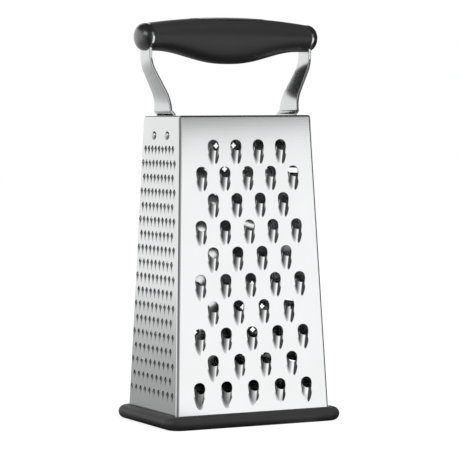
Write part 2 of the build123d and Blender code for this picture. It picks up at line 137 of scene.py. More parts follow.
def textured(tree, grain, detail, breakup, patches, least, most, strength, lift):
    """Links for a shader's Roughness and Normal, and the broad noise that varies the roughness.

    Fine noise of size grain gives a bump of height lift. Broad noise of size patches takes the roughness
    from least to most. Sizes are in mm.
    """
    fine = add(
        tree, "ShaderNodeTexNoise", values={"Scale": 1.0, "Detail": detail, "Roughness": breakup},
        links={"Vector": object_scale(tree, grain).outputs["Vector"]},
    )
    broad = add(
        tree, "ShaderNodeTexNoise", values={"Scale": 1.0, "Detail": 2.0, "Roughness": 0.5},
        links={"Vector": object_scale(tree, patches).outputs["Vector"]},
    )
    rough = add(
        tree, "ShaderNodeMapRange", values={"To Min": least, "To Max": most},
        links={"Value": broad.outputs["Fac"]},
    )
    bump = add(
        tree, "ShaderNodeBump", values={"Strength": strength, "Distance": lift * MM},
        links={"Height": fine.outputs["Fac"]},
    )
    return {"Roughness": rough.outputs["Result"], "Normal": bump.outputs["Normal"]}, broad


print("a mid grey, #808080, is", round(linear("#808080")[0], 3), "in linear light")

# %% [markdown]
# ## Stainless steel sheet
# The sheet is austenitic stainless steel, rolled, then polished with a fine belt. The eye reads it from
# its reflections: bright and slightly soft, drawn out a little by a grain that is too fine to count.
# So it is a metal with low roughness, a faint bump of long thin noise, and a slow change of roughness
# where hands and cloths have been. The belt's real scratches are some 0.05 mm apart, finer than a
# picture can show, so they are drawn at 0.5 mm. The straps and the inlay are brushed more strongly, so
# their highlights spread wider. The rivets keep the skin of the tool that headed them, which has no
# direction, so they glint softly.

# %% Steel materials
WIPED = (35.0, 35.0, 50.0)             # mm, the size of the patches that hands and cloths leave
SMOOTHEST = 0.85                       # roughness of the patches, as shares of the steel's own
DULLEST = 1.2


def steel(name, colour, tarnish, roughness, grain, lift):
    """Brushed metal: long noise along the grain drives a bump, broad noise varies roughness and colour.

    The grain's size along X, Y and Z and its height, lift, are in mm.
    """
    material, tree = new_material(name)
    skin, broad = textured(
        tree, grain, detail=3.0, breakup=0.6, patches=WIPED,
        least=roughness * SMOOTHEST, most=roughness * DULLEST, strength=0.25, lift=lift,
    )
    tint = add(tree, "ShaderNodeMix", {"data_type": "RGBA"}, links={"Factor": broad.outputs["Fac"]})
    tint.inputs["A"].default_value = linear(colour)
    tint.inputs["B"].default_value = linear(tarnish)
    shader = add(
        tree, "ShaderNodeBsdfPrincipled", values={"Metallic": 1.0},
        links={"Base Color": tint.outputs["Result"], **skin},
    )
    add(tree, "ShaderNodeOutputMaterial", links={"Surface": shader.outputs["BSDF"]})
    return material


polished_steel = steel(
    "belt_polished_stainless_sheet", "#E9EAEB", "#E3E4E4",
    roughness=0.085, grain=(20.0, 20.0, 0.5), lift=0.004,
)
strap_steel = steel(
    "brushed_stainless_strip", "#E6E7E8", "#D6D7D8",
    roughness=0.2, grain=(20.0, 0.5, 20.0), lift=0.006,
)
inlay_steel = steel(
    "fine_brushed_stainless_plate", "#D2D3D4", "#CBCCCD",
    roughness=0.28, grain=(30.0, 0.5, 0.5), lift=0.006,
)
rivet_steel = steel(
    "headed_stainless_rivet", "#D0D1D2", "#C6C7C8",
    roughness=0.26, grain=(4.0, 4.0, 4.0), lift=0.003,
)
print("steel finishes:", polished_steel.name, strap_steel.name, inlay_steel.name, rivet_steel.name)

# %% [markdown]
# ## Rubber and plastic
# The ring and the grip are moulded. The ring is EPDM rubber, with the dull, even skin that a blasted
# mould leaves. The grip is a soft thermoplastic elastomer with a slightly smoother skin. The caps are
# polypropylene from a polished mould, which shines like a thin clear coat. All three are near black,
# and what tells them apart is how wide their highlights spread, so roughness and the size of the
# skin's texture differ.

# %% Rubber and plastic materials
BLOTCH = (30.0, 30.0, 30.0)            # mm, the size of the smoother and duller patches
BLOTCH_ROUGHNESS = 0.05                # how much they differ from the middle


def moulded(name, colour, roughness, skin, lift, gloss=0.0):
    """Moulded skin: the size of its texture, skin, and the height of it, lift, are in mm.

    Gloss is the weight of a clear coat.
    """
    material, tree = new_material(name)
    surface, _ = textured(
        tree, (skin, skin, skin), detail=4.0, breakup=0.65, patches=BLOTCH,
        least=roughness - BLOTCH_ROUGHNESS, most=roughness + BLOTCH_ROUGHNESS, strength=0.3, lift=lift,
    )
    shader = add(
        tree, "ShaderNodeBsdfPrincipled", links=surface,
        values={"Base Color": linear(colour), "IOR": 1.5, "Coat Weight": gloss, "Coat Roughness": 0.25},
    )
    add(tree, "ShaderNodeOutputMaterial", links={"Surface": shader.outputs["BSDF"]})
    return material


ring_rubber = moulded("moulded_epdm_rubber", "#3C3C3D", roughness=0.5, skin=0.7, lift=0.04)
grip_rubber = moulded("moulded_soft_elastomer", "#343435", roughness=0.42, skin=0.6, lift=0.03)
cap_plastic = moulded("moulded_polypropylene", "#262627", roughness=0.3, skin=0.9, lift=0.02, gloss=1.0)
print("moulded finishes:", ring_rubber.name, grip_rubber.name, cap_plastic.name)

# %% [markdown]
# ## Surfaces from numbers
# A new piece is a sheet of points worked out with numpy. A patch is a grid of points in rows and
# columns. A piece may join several patches, whose shared edges are welded. The welding also closes
# poles, where a whole row of points falls on one place.

# %% Grids of points
def grid_faces(rows, columns, wrap=False):
    """Corners of the four-sided faces of a grid, row by row. With wrap, the last column joins the first."""
    row = np.arange(rows - 1)[:, None]
    column = np.arange(columns if wrap else columns - 1)[None, :]
    beside = (column + 1) % columns
    this_row = row * columns
    next_row = this_row + columns
    corners = [this_row + column, this_row + beside, next_row + beside, next_row + column]
    return np.stack([c.ravel() for c in corners], axis=1)


def closed_by(ring):
    """Patch of one flat face that closes a ring of points."""
    return ring, [list(range(len(ring)))]


def capped(grid):
    """Patches of a grid that wraps round, with its first and last rings closed by flat ends."""
    return [(grid, grid_faces(*grid.shape[:2], wrap=True)), closed_by(grid[0]), closed_by(grid[-1])]


print("a grid of 3 by 4 points has", len(grid_faces(3, 4)), "faces")

# %% [markdown]
# The function below makes a Blender object from patches. Its shading matters as much as its points,
# because polished steel shows every normal: flat sheet is shaded flat, curved metal smooth, and both
# break at creases and at cut edges.

# %% Pieces from patches
WELD = 0.01                            # mm, points nearer than this become one
SLIVER = 0.001                         # mm, edges shorter than this are dropped


def make_piece(name, patches, material, crease=40.0):
    """Mesh object from patches of (points in mm, faces, and False for a flat patch), welded.

    Curved patches are shaded smooth but for edges sharper than the crease angle. A flat patch is shaded
    flat, so that its reflection stays even up to its border. Open borders are sharp, so that the cut edge
    which a thickness adds there doesn't bend the reflection beside it.
    """
    points, faces, smooth, start = [], [], [], 0
    for patch_points, patch_faces, *curved in patches:
        patch_points = np.asarray(patch_points, float).reshape(-1, 3)
        points.append(patch_points)
        faces.extend([[start + int(i) for i in face] for face in patch_faces])
        smooth.extend([not curved or curved[0]] * len(patch_faces))
        start += len(patch_points)
    mesh = bpy.data.meshes.new(name)
    mesh.from_pydata((np.vstack(points) * MM).tolist(), [], faces)
    mesh.polygons.foreach_set("use_smooth", smooth)
    work = bmesh.new()
    work.from_mesh(mesh)
    bmesh.ops.remove_doubles(work, verts=work.verts, dist=WELD * MM)
    bmesh.ops.dissolve_degenerate(work, edges=work.edges, dist=SLIVER * MM)
    work.to_mesh(mesh)
    work.free()
    kept_smooth = np.empty(len(mesh.polygons), bool)
    mesh.polygons.foreach_get("use_smooth", kept_smooth)
    mesh.set_sharp_from_angle(angle=math.radians(crease))
    mesh.polygons.foreach_set("use_smooth", kept_smooth)
    edge_of_loop = np.empty(len(mesh.loops), int)
    mesh.loops.foreach_get("edge_index", edge_of_loop)
    sharp = np.empty(len(mesh.edges), bool)
    mesh.edges.foreach_get("use_edge_sharp", sharp)
    sharp |= np.bincount(edge_of_loop, minlength=len(sharp)) == 1
    mesh.edges.foreach_set("use_edge_sharp", sharp)
    mesh.materials.append(material)
    piece = bpy.data.objects.new(name, mesh)
    bpy.context.scene.collection.objects.link(piece)
    return piece


def stands_for(piece, node):
    """The piece rides on the one body and takes the place of this CAD node."""
    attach(piece, "root")
    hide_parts(node)
    print(piece.name, len(piece.data.polygons), "faces, for", node)


def closed_piece(name, patches, material, node, crease=40.0):
    """Piece that its patches close all round, with its faces turned outwards."""
    piece = make_piece(name, patches, material, crease)
    work = bmesh.new()
    work.from_mesh(piece.data)
    bmesh.ops.recalc_face_normals(work, faces=work.faces)
    work.to_mesh(piece.data)
    work.free()
    stands_for(piece, node)


print("points weld within", WELD, "mm")

# %% [markdown]
# ## The tapered body
# The panels lean inwards, so each has its own flat frame: u runs across it, v up it from the ring, and
# w out of it. The same few sizes as in the CAD model give the edges of all four panels.

# %% Body sizes and panel frames
RING_HEIGHT = 9.0
BODY_RISE = 200.0                      # from the ring to the top plate
FOOT_HALF = (57.85, 39.45)             # X and Y, at the top of the ring
TOP_HALF = (49.7, 29.35)
SHEET = 0.6                            # thickness
FIT = 0.05                             # gap between parts that touch
BEND = 1.4                             # outer radius of the bent corners
FLANGE = 4.0
PANEL_LOW = 2.65                       # height of the panels' lower edge, in the ring's groove
PANEL_HIGH = RING_HEIGHT + BODY_RISE - BEND
TILT_X = (FOOT_HALF[0] - TOP_HALF[0]) / BODY_RISE
TILT_Y = (FOOT_HALF[1] - TOP_HALF[1]) / BODY_RISE
FRONT = (0, -1)                        # where each panel faces, along X and Y
BACK = (0, 1)
LEFT = (-1, 0)
RIGHT = (1, 0)
SIDES = ((-1, "left"), (1, "right"))


def half_width(z):
    """Outer half width of the body at height z: it narrows evenly."""
    return FOOT_HALF[0] - TILT_X * (z - RING_HEIGHT)


def half_depth(z):
    """Outer half depth of the body at height z."""
    return FOOT_HALF[1] - TILT_Y * (z - RING_HEIGHT)


def on_panel(side_x, side_y, points):
    """Points (u, v, w) of a panel's frame as (x, y, z).

    The frame's middle plus u, v and w times its directions: across the panel, up it and out of it.
    """
    out = np.array([side_x, side_y, TILT_X * abs(side_x) + TILT_Y * abs(side_y)], float)
    out /= np.linalg.norm(out)
    across = np.array([-side_y, side_x, 0.0])
    upwards = np.cross(out, across)
    origin = np.array([side_x * FOOT_HALF[0], side_y * FOOT_HALF[1], RING_HEIGHT])
    points = np.asarray(points, float)
    return origin + points[..., :1] * across + points[..., 1:2] * upwards + points[..., 2:3] * out


def panel_rise(tilt, z):
    """Height z as the distance v up a panel that leans by tilt."""
    return (z - RING_HEIGHT) * math.hypot(1, tilt)


print("body is", 2 * half_width(RING_HEIGHT), "mm wide at the foot and", 2 * TOP_HALF[0], "mm at the top")

# %% [markdown]
# ## A punched scoop
# A grating tooth is made in one blow. A round punch comes from inside at a low angle, tears the sheet
# along a lip and pushes it up, so below the hole the metal keeps the punch's own shape, a leaning half
# cylinder that runs out to a point. The surface is made from the straight lines of that cylinder: each
# starts where it leaves the sheet and ends where the lip's plane cuts it.

# %% The scoop as a patch
FIRST_ROW = 0.06                       # where the hood starts, as a share of the way from sheet to lip
TOWARDS_LIP = 0.8                      # power under one: the rows stand closer towards the lip
FOOT_ENDS = 8                          # power: how suddenly the rounded foot ends beside the lip


def punched(radius, reach, slope, lip_start, lip_slope, top, foot, lines, rows):
    """Patch and footprint of a scoop round the middle of its hole.

    Line a of the punch has u = radius sin a and w = slope (v + reach) - radius (1 - cos a). It leaves the
    sheet where w = 0 and meets the lip where w = lip_slope (lip_start - v). The patch's first row lies in
    the sheet, up to foot outside the scoop, to round the bend there. The footprint follows that row, then
    a half ellipse that closes it over the hole, as far up as top.
    """
    widest = math.acos(1 - slope * (lip_start + reach) / radius)
    turn = np.linspace(-widest, widest, lines)
    across = radius * np.sin(turn)
    fall = radius * (1 - np.cos(turn))
    low = fall / slope - reach
    high = (lip_slope * lip_start - slope * reach + fall) / (slope + lip_slope)
    share = np.linspace(0, 1, rows)[:, None] ** TOWARDS_LIP
    share[0] = FIRST_ROW
    v = low + share * (high - low)
    hood = np.stack([np.broadcast_to(across, v.shape), v, slope * (v + reach) - fall], axis=-1)
    spread = foot * (1 - (turn / widest) ** FOOT_ENDS)
    outer = np.stack([across + spread * np.sin(turn), low - spread * np.cos(turn), 0 * turn], axis=-1)
    over = np.linspace(0, math.pi, lines // 2 + 3)[1:-1]
    arc = np.stack([outer[-1, 0] * np.cos(over), lip_start + (top - lip_start) * np.sin(over)], axis=-1)
    return np.concatenate([outer[None], hood]), np.vstack([outer[:, :2], arc])


def tooth_grid(rows, first_row, drop, lift, half_size, margin, shift=0.0):
    """Places (u, v) of staggered teeth, from drop below the body's top down to lift above the ring.

    Rows have n and n + 1 teeth in turn. The longer rows end a margin from the edges, and shift moves all
    of them sideways.
    """
    places = []
    for row, height in enumerate(np.linspace(BODY_RISE - drop, lift, rows)):
        count = first_row + row % 2
        pitch = 2 * (half_size(RING_HEIGHT + height) - margin) / first_row
        places.extend((u, height) for u in (np.arange(count) - (count - 1) / 2) * pitch + shift)
    return np.array(places)


coarse_tooth = punched(
    radius=4.1, reach=12.9, slope=0.275, lip_start=0.7, lip_slope=0.68, top=4.3, foot=1.0, lines=25, rows=7,
)
coarse_places = tooth_grid(
    rows=10, first_row=4, drop=20.3, lift=17.5, half_size=half_width, margin=16.8,
)
coarse_height = float(coarse_tooth[0][..., 2].max())
print("coarse scoop stands", round(coarse_height, 2), "mm proud, at", len(coarse_places), "places")

# %% [markdown]
# ## The wide panels
# The coarse face and the zesting face behind it are each one sheet, bent back along both upright
# corners into a flange that the narrow panel covers. A flat sheet with a footprint cut out for each
# tooth, the teeth, and the bends and flanges as narrow strips make the outer skin. A Solidify modifier
# gives the skin the sheet's thickness.

# %% Pierced sheet
FACES_INSIDE = 1                       # the triangulation's output type: triangles inside the loops
NEAR = 1e-5                            # mm, points nearer than this count as one
SHEET_CREASE = 50                      # degrees, sharp beyond this


def flat_sheet(outline, holes):
    """Flat face with holes: a Delaunay triangulation of all the loops, less the triangles in a hole."""
    loops = [np.asarray(outline)] + [np.asarray(hole) for hole in holes]
    starts = np.cumsum([0] + [len(loop) for loop in loops])
    regions = [list(range(start, end)) for start, end in zip(starts, starts[1:])]
    points = [Vector(p) for p in np.vstack(loops).tolist()]
    found, _, faces, _, _, inside = delaunay_2d_cdt(points, [], regions, FACES_INSIDE, NEAR)
    flat = np.array([(p.x, p.y, 0.0) for p in found])
    return flat, [face for face, owners in zip(faces, inside) if owners == [0]]


def pierced(side, outline, tooth, places):
    """Patches of a panel face: the flat sheet with footprints cut out, and the tooth set into each."""
    patch, footprint = tooth
    flat, faces = flat_sheet(outline, [footprint + place for place in places])
    patches = [(on_panel(*side, flat), faces, False)]
    for u, v in places:
        patches.append((on_panel(*side, patch + np.array([u, v, 0.0])), grid_faces(*patch.shape[:2])))
    return patches


def tapered_outline(tilt, half_size, inset):
    """Corners of a panel's flat part, anticlockwise from the lower left, an inset inside the body's sides."""
    low, high = (panel_rise(tilt, z) for z in (PANEL_LOW, PANEL_HIGH))
    wide, narrow = (half_size(z) - inset for z in (PANEL_LOW, PANEL_HIGH))
    return np.array([(-wide, low), (wide, low), (narrow, high), (-narrow, high)])


def sheet_piece(name, patches, node, crease=SHEET_CREASE):
    """Piece of sheet: its patches are the outer skin, and Solidify grows the wall inwards from it."""
    piece = make_piece(name, patches, polished_steel, crease)
    wall = piece.modifiers.new("wall", "SOLIDIFY")
    wall.thickness = SHEET * MM
    wall.offset = -1.0
    wall.use_even_offset = False
    stands_for(piece, node)


wide_outline = tapered_outline(TILT_Y, half_width, SHEET + FIT + BEND)
narrow_outline = tapered_outline(TILT_X, half_depth, BEND)
print("a wide panel's flat part is", round(2 * wide_outline[1, 0], 1), "mm wide at its lower edge")

# %% [markdown]
# A bend and its flange are one strip: a quarter circle of seven points, then a straight run back. The
# coarse panel is the first one made this way.

# %% Front panel
def bent_side(side, sign, outline):
    """Bend and flange at one upright corner: a quarter circle back from the flat part, then straight."""
    turn = np.linspace(0, math.pi / 2, 7)
    across = np.append(BEND * np.sin(turn), BEND)
    back = np.append(-BEND * (1 - np.cos(turn)), -FLANGE)
    ends = outline[[1, 2]] if sign > 0 else outline[[3, 0]]
    u = ends[:, :1] + sign * across
    v = ends[:, 1:] + 0 * across
    strip = np.stack([u, v, back + 0 * u], axis=-1)
    return on_panel(*side, strip), grid_faces(*strip.shape[:2])


def wide_panel(side, tooth, places):
    """Patches of a whole wide panel: pierced flat part, two bends and two flanges."""
    bends = [bent_side(side, sign, wide_outline) for sign in (-1, 1)]
    return pierced(side, wide_outline, tooth, places) + bends


sheet_piece("coarse_panel_sheet", wide_panel(FRONT, coarse_tooth, coarse_places), "front_panel")

# %% [markdown]
# ## The narrow panels
# The narrow panels are flat sheets that close the body's sides. The fine teeth on the left are the same
# scoops made small. There are well over a hundred, so each has only a few dozen faces.

# %% Left panel with fine teeth
fine_tooth = punched(
    radius=1.25, reach=6.0, slope=0.195, lip_start=0.3, lip_slope=0.5, top=1.15, foot=0.2, lines=11, rows=4,
)
fine_places = tooth_grid(
    rows=18, first_row=9, drop=21.2, lift=14.1, half_size=half_depth, margin=5.5, shift=-1.6,
)
fine_patches = pierced(LEFT, narrow_outline, fine_tooth, fine_places)
sheet_piece("fine_panel_sheet", fine_patches, "left_panel")

# %% [markdown]
# ## The zesting face
# Zest and hard cheese are rasped on burrs. A spike pushed right through the sheet leaves a small
# crater with a torn, sharp rim. Through the coarse holes of the photograph its four-cornered openings
# show on the far wide panel as bright little stars. A burr is a round foot that narrows to a
# four-cornered rim as it rises.

# %% Back panel with burrs
PINCH = 0.36                           # how far the rim dips in between its corners, as a share of its reach
BURR_RINGS = 4


def crater(foot, rim, height, corners):
    """Patch and footprint of a burr: round rings that shrink, pinch towards the rim's corners, and rise.

    At share s of the way up, the reach is foot + (rim - foot) s to the power 0.8, less s times the dip
    between the corners, and the rise is height times s to the power 1.4.
    """
    turn = math.pi / 2 + 2 * math.pi * np.arange(corners * 4 + 1) / (corners * 4)
    share = np.linspace(0, 1, BURR_RINGS)[:, None]
    dip = PINCH * (1 - np.cos(corners * (turn - math.pi / 2))) / 2
    reach = (foot + (rim - foot) * share ** 0.8) * (1 - dip * share)
    rise = np.broadcast_to(height * share ** 1.4, reach.shape)
    ring = np.stack([reach * np.cos(turn), reach * np.sin(turn), rise], axis=-1)
    return ring, ring[0, :-1, :2]


burr = crater(foot=3.5, rim=2.6, height=1.3, corners=4)
burr_places = tooth_grid(rows=11, first_row=6, drop=21.0, lift=15.0, half_size=half_width, margin=10.0)
sheet_piece("zest_panel_sheet", wide_panel(BACK, burr, burr_places), "back_panel")

# %% [markdown]
# ## The slicing face
# A slicing blade is a wide tongue of the sheet, pressed up into a ramp whose upper edge is ground
# straight. Food slides down the face and the slice passes through the slot above the lip.

# %% Right panel with slicing blades
BLADES = 4
BLADE_STEPS = 12                       # rows of points up a blade's ramp
BLADE_DROP = 40.0                      # highest lip below the body's top
BLADE_LIFT = 24.0                      # lowest lip above the ring
BLADE_MARGIN = 9.0                     # beside a blade


def slicing_blade(half, ramp, height, opening):
    """Patches and footprint of a blade with upright ends, whose lip lies at v = 0.

    At share s of the way up the ramp, w = height (0.55 s + 0.45 (1 - cos pi s) / 2). The footprint goes up
    one side of the ramp, round the opening above the lip, and down the other side.
    """
    share = np.linspace(0, 1, BLADE_STEPS)[:, None]
    rise = height * (0.55 * share + 0.45 * (1 - np.cos(math.pi * share)) / 2)
    v = np.broadcast_to(ramp * (share - 1), (BLADE_STEPS, 2))
    near_end = np.stack([np.full_like(v, -half), v, np.hstack([0 * rise, rise])], axis=-1)
    across = np.stack([np.tile([-half, half], (BLADE_STEPS, 1)), v, np.hstack([rise, rise])], axis=-1)
    far_end = np.stack([np.full_like(v, half), v, np.hstack([rise, 0 * rise])], axis=-1)
    climb = np.hstack([np.full_like(share, half), ramp * (share - 1)])
    footprint = np.vstack([climb, [(half, opening), (-half, opening)], climb[::-1] * (-1, 1)])
    return [near_end, across, far_end], footprint


def slicing_patches(side, outline):
    """The blades in the flat part, each as wide as the panel allows at its height."""
    loops, parts = [], []
    for lip in np.linspace(BODY_RISE - BLADE_DROP, BLADE_LIFT, BLADES):
        half = half_depth(RING_HEIGHT + lip) - BLADE_MARGIN
        patches, loop = slicing_blade(half, ramp=15.0, height=2.3, opening=3.6)
        loops.append(loop + np.array([0.0, lip]))
        for patch in patches:
            parts.append((on_panel(*side, patch + np.array([0.0, lip, 0.0])), grid_faces(*patch.shape[:2])))
    flat, faces = flat_sheet(outline, loops)
    return [(on_panel(*side, flat), faces, False)] + parts


sheet_piece("slicing_panel_sheet", slicing_patches(RIGHT, narrow_outline), "right_panel", crease=40.0)

# %% [markdown]
# ## The rubber ring
# The ring is a moulded band with a half-round outer edge and a groove for the sheet. Its section is
# carried round a rectangle with round corners. Points deeper in the section go round tighter corners.

# %% Base ring
RING_PROUD = 8.2                       # from the panels out to the ring's edge
RING_ROUND = 4.5                       # depth of the half-round edge
RING_CORNER = 12.0                     # radius, seen from above
TIGHTEST = 1.2                         # least radius of the corners inside it
GROOVE_FLOOR = 2.6
GROOVE_WIDTH = 1.5
LIP_ROUND = 0.9                        # radius of the lip against the panels
INNER_WALL = 2.4
WALL_BEVEL = 0.3


def rounded_loop(half_x, half_y, radius, z, corner_points=12):
    """Loop round a rectangle with round corners at height z: four quarter circles, anticlockwise from +X."""
    turn = np.linspace(0, math.pi / 2, corner_points)
    loop = []
    for quarter, (sx, sy) in enumerate(((1, 1), (-1, 1), (-1, -1), (1, -1))):
        angle = turn + quarter * math.pi / 2
        x = sx * (half_x - radius) + radius * np.cos(angle)
        y = sy * (half_y - radius) + radius * np.sin(angle)
        loop.append(np.stack([x, y, np.full(corner_points, z)], axis=-1))
    return np.vstack(loop)


def ring_loop(inset, z):
    """Loop at a distance inside the ring's outer edge."""
    radius = max(RING_CORNER - inset, TIGHTEST)
    return rounded_loop(FOOT_HALF[0] + RING_PROUD - inset, FOOT_HALF[1] + RING_PROUD - inset, radius, z)


def ring_section():
    """(inset, z) round the section: half-round edge, rounded lip, groove, bevelled inner wall, underside."""
    middle = RING_HEIGHT / 2
    turn = np.linspace(-math.pi / 2, math.pi / 2, 17)
    edge = np.stack([RING_ROUND * (1 - np.cos(turn)), middle + middle * np.sin(turn)], axis=-1)
    mouth = RING_PROUD - FIT
    turn = np.linspace(0, math.pi / 2, 6)
    lip_middle = np.array([mouth - LIP_ROUND, RING_HEIGHT - LIP_ROUND])
    lip = lip_middle + LIP_ROUND * np.stack([np.sin(turn), np.cos(turn)], axis=-1)
    inner = RING_PROUD + GROOVE_WIDTH
    wall = inner + INNER_WALL
    groove = [(mouth, GROOVE_FLOOR), (inner, GROOVE_FLOOR), (inner, RING_HEIGHT - WALL_BEVEL)]
    wall_top = [(inner + WALL_BEVEL, RING_HEIGHT), (wall - WALL_BEVEL, RING_HEIGHT)]
    wall_side = [(wall, RING_HEIGHT - WALL_BEVEL), (wall, 0.0)]
    return np.vstack([edge, lip, groove, wall_top, wall_side])


section = ring_section()
loops = np.stack([ring_loop(inset, z) for inset, z in np.vstack([section, section[:1]])])
ring_patch = (loops, grid_faces(*loops.shape[:2], wrap=True))
closed_piece("moulded_base_ring", [ring_patch], ring_rubber, "base_ring", crease=45)

# %% [markdown]
# ## The handle straps
# Each strap is a strip of 2 mm stainless steel, cut to shape and bent in a press. From the oval eye at
# the grip it swings inwards in an S, passes through the top plate with a small joggle, and ends in a
# tail that is riveted behind the narrow panel. The strap is a rounded strip section carried along the
# line of its outer face, and its width follows the cut outline.

# %% Strap line
TOP_Z = RING_HEIGHT + BODY_RISE
STRAP = 2.0                            # thickness
EYE_HEIGHT = 53.1                      # middle of the eye above the body's top
EYE_REACH = 61.5                       # outer face of the eye from the middle of the grater
END_HALF = (12.9, 9.4)                 # Y and Z, half the oval end of the strap and of the grip
TAIL_DEPTH = 18.2                      # end of the tail below the body's top


def bent_line(corners, radii, step=0.6):
    """Points and normals along a line of straight runs joined by arcs of the given radii.

    An arc starts radius tan (bend / 2) before its corner. Its points are its arm turned by shares of the
    bend, and everything is then divided into steps.
    """
    corners = [np.array(c, float) for c in corners]
    runs = [corners[0][None]]
    for before, here, after, radius in zip(corners, corners[1:], corners[2:], radii):
        d0 = (here - before) / np.linalg.norm(here - before)
        d1 = (after - here) / np.linalg.norm(after - here)
        bend = math.acos(np.clip(d0 @ d1, -1, 1))
        sign = math.copysign(1, d0[0] * d1[1] - d0[1] * d1[0])
        start = here - d0 * (radius * math.tan(bend / 2))
        centre = start + sign * radius * np.array([-d0[1], d0[0]])
        arm = start - centre
        turn = np.linspace(0, sign * bend, max(int(radius * bend / step), 6))
        x = np.cos(turn) * arm[0] - np.sin(turn) * arm[1]
        y = np.sin(turn) * arm[0] + np.cos(turn) * arm[1]
        runs.append(centre + np.stack([x, y], axis=-1))
    runs = np.vstack([*runs, corners[-1][None]])
    legs = np.diff(runs, axis=0)
    lengths = np.linalg.norm(legs, axis=1)
    counts = np.where(lengths > 1e-6, np.maximum((lengths / step).astype(int), 1), 0)
    number = np.arange(1, counts.sum() + 1) - np.repeat(np.cumsum(counts) - counts, counts)
    offsets = np.repeat(legs, counts, axis=0) * number[:, None] / np.repeat(counts, counts)[:, None]
    points = np.vstack([runs[:1], np.repeat(runs[:-1], counts, axis=0) + offsets])
    along = np.gradient(points, axis=0)
    along /= np.linalg.norm(along, axis=1)[:, None]
    return points, np.stack([-along[:, 1], along[:, 0]], axis=1)


def tail_reach(height):
    """Where the tail's outer face lies: behind the narrow panel and the top plate's skirt."""
    return half_width(TOP_Z + height) - 2 * (SHEET + FIT) - FIT


line_corners = [                       # reach and height above the body's top, down the outer face
    (EYE_REACH, EYE_HEIGHT + END_HALF[1]),
    (EYE_REACH, 34.9),
    (49.15, 10.7),
    (49.15, 2.5),
    (46.65, 0.0),
    (tail_reach(-6.5), -6.5),
    (tail_reach(-TAIL_DEPTH), -TAIL_DEPTH),
]
outer_line, outward = bent_line(line_corners, radii=[26.0, 27.0, 3.0, 1.0, 9.0])
print("strap line has", len(outer_line), "points")

# %% [markdown]
# Seen from the side, the strip narrows from the oval eye to a neck and widens again towards the top
# plate. Its long edges are slightly rounded by tumbling, which puts a thin bright line along them.

# %% Strap width and section
NECK = np.array([(7.8, 38.5), (9.8, 21.0), (13.5, 0.0)])    # half width and height, down the cut outline
TAIL_CORNER = 3.0                      # radius
EDGE = 0.35                            # radius of the strip's tumbled edges


def strap_half_width(height):
    """Half width at a height: an oval eye, a neck that widens to the foot, and a round-cornered tail.

    The neck follows the circle through NECK, whose centre is equally far from the three points.
    """
    a, b, c = NECK
    centre = np.linalg.solve(2 * np.array([b - a, c - a]), np.array([b @ b - a @ a, c @ c - a @ a]))
    radius = np.linalg.norm(a - centre)
    rise = np.clip(height, 0, a[1]) - centre[1]
    neck = centre[0] - np.sqrt(np.clip(radius ** 2 - rise ** 2, 0, None))
    eye = END_HALF[0] * np.sqrt(np.clip(1 - ((height - EYE_HEIGHT) / END_HALF[1]) ** 2, 0, 1))
    neck = np.where(height > EYE_HEIGHT, 0, np.where(height > a[1], a[0], neck))
    tail = np.clip(height + TAIL_DEPTH, 0, TAIL_CORNER)
    corner = c[0] - TAIL_CORNER + np.sqrt(np.clip(TAIL_CORNER ** 2 - (TAIL_CORNER - tail) ** 2, 0, None))
    return np.where(height < 0, corner, np.maximum(neck, eye))


def strip_section(half):
    """Across and inward places round the strip's section, one row for each half width.

    The section is a rectangle with quarter-round corners. Where the strip is narrower than these, they
    shrink across it.
    """
    small = np.minimum(EDGE, half)
    across, inward = [], []
    for quarter, (side, depth) in enumerate(((1, EDGE), (1, STRAP - EDGE), (-1, STRAP - EDGE), (-1, EDGE))):
        angle = np.linspace(0, math.pi / 2, 4) + (quarter - 1) * math.pi / 2
        across.append(side * (half - small) + small * np.cos(angle))
        inward.append(depth + EDGE * np.sin(angle) + 0 * half)
    return np.hstack(across), np.hstack(inward)


print("strap is", round(2 * float(strap_half_width(outer_line[:, 1]).max()), 1), "mm at its widest")

# %% [markdown]
# The section is set square to the line at each of its points. The round top of the eye widens fast, so
# it takes closer rows of its own.

# %% Strap surface
EYE_ROWS = 14                          # closer rows for the round top of the eye
LEAST_HALF = 0.02                      # half width of its topmost row


def strap_patch(side):
    """Patches of the strap: the section set square to the line at each point, mirrored for the left."""
    top = EYE_HEIGHT + END_HALF[1]
    extra = top - END_HALF[1] * (1 - np.cos(np.linspace(0, math.pi / 3, EYE_ROWS)))
    keep = outer_line[:, 1] < extra[-1] - 0.2
    line = np.vstack([np.stack([np.full(EYE_ROWS, EYE_REACH), extra], axis=1), outer_line[keep]])
    normal = np.vstack([np.tile([1.0, 0.0], (EYE_ROWS, 1)), outward[keep]])
    normal *= np.sign(normal[:, :1] + 1e-9)
    across, inward = strip_section(np.maximum(strap_half_width(line[:, 1]), LEAST_HALF)[:, None])
    x = line[:, :1] - inward * normal[:, :1]
    z = line[:, 1:] - inward * normal[:, 1:]
    return capped(np.stack([side * x, across, TOP_Z + z], axis=-1))


for side, side_name in SIDES:
    node = f"handle_strap_{side_name}"
    closed_piece(f"bent_strap_{side_name}", strap_patch(side), strap_steel, node, crease=50)

# %% [markdown]
# ## The grip
# The grip is moulded over a core bar. Seen from the front its top is a shallow arch and its belly hangs
# down for the fingers. Seen along the handle it is an egg, wider than high at the ends. Each ring of
# points is two half ovals that meet at the widest line.

# %% Grip
GRIP_END = EYE_REACH - STRAP - FIT
EYE_Z = TOP_Z + EYE_HEIGHT
LINE_RISE = 0.9                        # how the middle of the grip differs from its ends: its widest line,
SIDE_SWELL = 1.2                       # its half width,
CROWN_RISE = 4.2                       # its top
BELLY_DROP = 8.7                       # and its underside
BELLY_REACH = 54.0                     # from the middle to where the belly starts
BELLY_FULLNESS = 1.25                  # power over one: the belly is fuller than a plain swing


